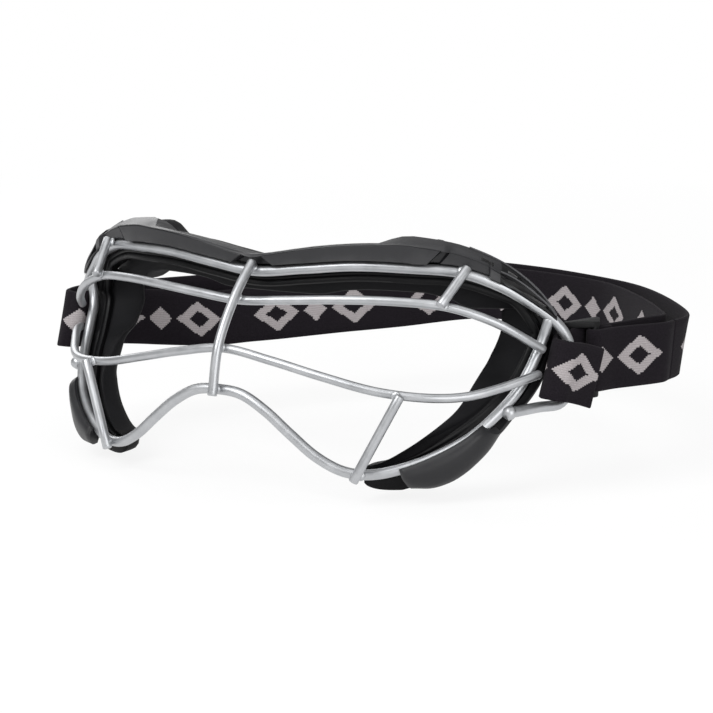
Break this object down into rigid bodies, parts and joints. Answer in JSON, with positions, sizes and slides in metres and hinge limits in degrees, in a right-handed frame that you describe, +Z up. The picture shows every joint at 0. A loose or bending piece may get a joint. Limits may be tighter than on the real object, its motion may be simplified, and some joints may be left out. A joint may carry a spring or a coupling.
{
  "type": "lacrosse goggles",
  "caption": "Lacrosse goggles: a welded wire cage with a moulded brow cap, cheek caps, face pads and a doubled elastic head strap with a slider.",
  "frame": {"origin": "point of the brow pad's forehead face in the middle plane, at the height of the brow wire", "axes": "+X to the wearer's left, +Y back towards the head, +Z up"},
  "size_m": [0.2044, 0.1869, 0.0726],
  "materials": {
    "wire": "satin",
    "cap": "satin",
    "carrier": "matte",
    "pad": "matte",
    "webbing": "matte",
    "slider": "satin"
  },
  "bodies": {
    "frame": {"brow_wire": "wire", "perimeter_wire": "wire", "upper_rail": "wire", "lower_rail": "wire", "centre_post": "wire", "upper_post_left": "wire", "upper_post_right": "wire", "lower_post_left": "wire", "lower_post_right": "wire", "brow_cap": "cap", "cheek_cap_left": "cap", "cheek_cap_right": "cap", "pad_carrier": "carrier", "brow_pad": "pad", "side_pad_left": "pad", "side_pad_right": "pad"},
    "strap": {"strap_inner": "webbing", "strap_outer": "webbing", "strap_wrap_left": "webbing", "strap_wrap_right": "webbing"},
    "slider": {"slider": "slider", "slider_strap_end": "webbing"}
  },
  "joints": [
    {"name": "strap_tilt", "type": "hinge", "parent": "frame", "child": "strap", "pos_m": [0, 0.014, -0.0284], "axis": [1, 0, 0], "range_deg": [-12, 12], "deforming": ["strap_wrap_left", "strap_wrap_right"]},
    {"name": "slider_slide", "type": "slide", "parent": "strap", "child": "slider", "axis": [0.3077, 0.9515, 0], "range_m": [0, 0.012], "deforming": ["slider_strap_end"]}
  ]
}
